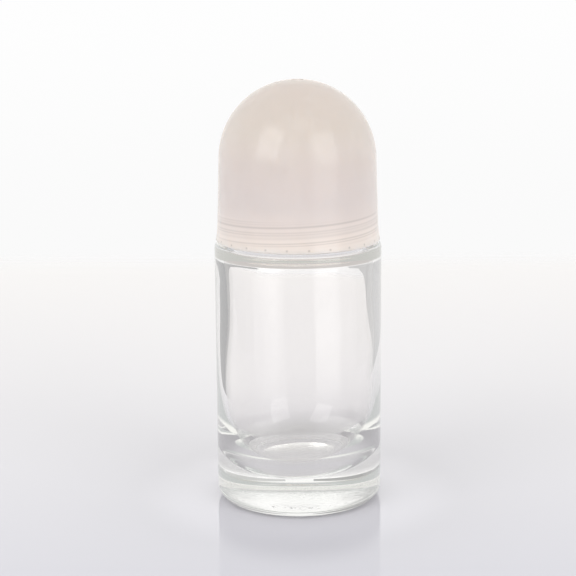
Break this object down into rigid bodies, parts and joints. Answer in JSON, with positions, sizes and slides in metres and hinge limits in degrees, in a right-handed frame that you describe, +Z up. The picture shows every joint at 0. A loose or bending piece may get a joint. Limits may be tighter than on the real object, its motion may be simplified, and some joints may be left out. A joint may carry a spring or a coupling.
{
  "type": "roll on bottle",
  "caption": "Clear glass roll-on bottle with a heavy base, a ball in a snap-in housing and a translucent domed screw cap.",
  "frame": {"origin": "centre of the base, on the plane that the bottle stands on", "axes": "+Z up along the bottle's axis, through the middle of the cap; the pictured front faces -Y"},
  "size_m": [0.04, 0.04, 0.1019],
  "materials": {
    "clear_glass": "clear moulded glass, polished outside",
    "natural_polyethylene": "natural milky moulding, satin",
    "white_polypropylene": "white, polished",
    "frosted_polypropylene": "translucent white moulding, fine satin"
  },
  "bodies": {
    "bottle": {"bottle": "clear_glass"},
    "housing": {"ball_housing": "natural_polyethylene"},
    "ball": {"ball": "white_polypropylene"},
    "cap": {"cap": "frosted_polypropylene"}
  },
  "joints": [
    {"name": "cap_turn", "type": "hinge", "parent": "bottle", "child": "housing", "pos_m": [0, 0, 0.0725], "axis": [0, 0, 1], "range_deg": [0, 2592]},
    {"name": "cap_lift", "type": "slide", "parent": "housing", "child": "cap", "axis": [0, 0, 1], "range_m": [0, 0.036]},
    {"name": "ball_roll", "type": "hinge", "parent": "housing", "child": "ball", "pos_m": [0, 0, 0.08233], "axis": [1, 0, 0], "continuous": true}
  ],
  "couplings": [
    {"joint": "cap_lift", "follows": "cap_turn", "m_per_rad": 0.00079577}
  ]
}
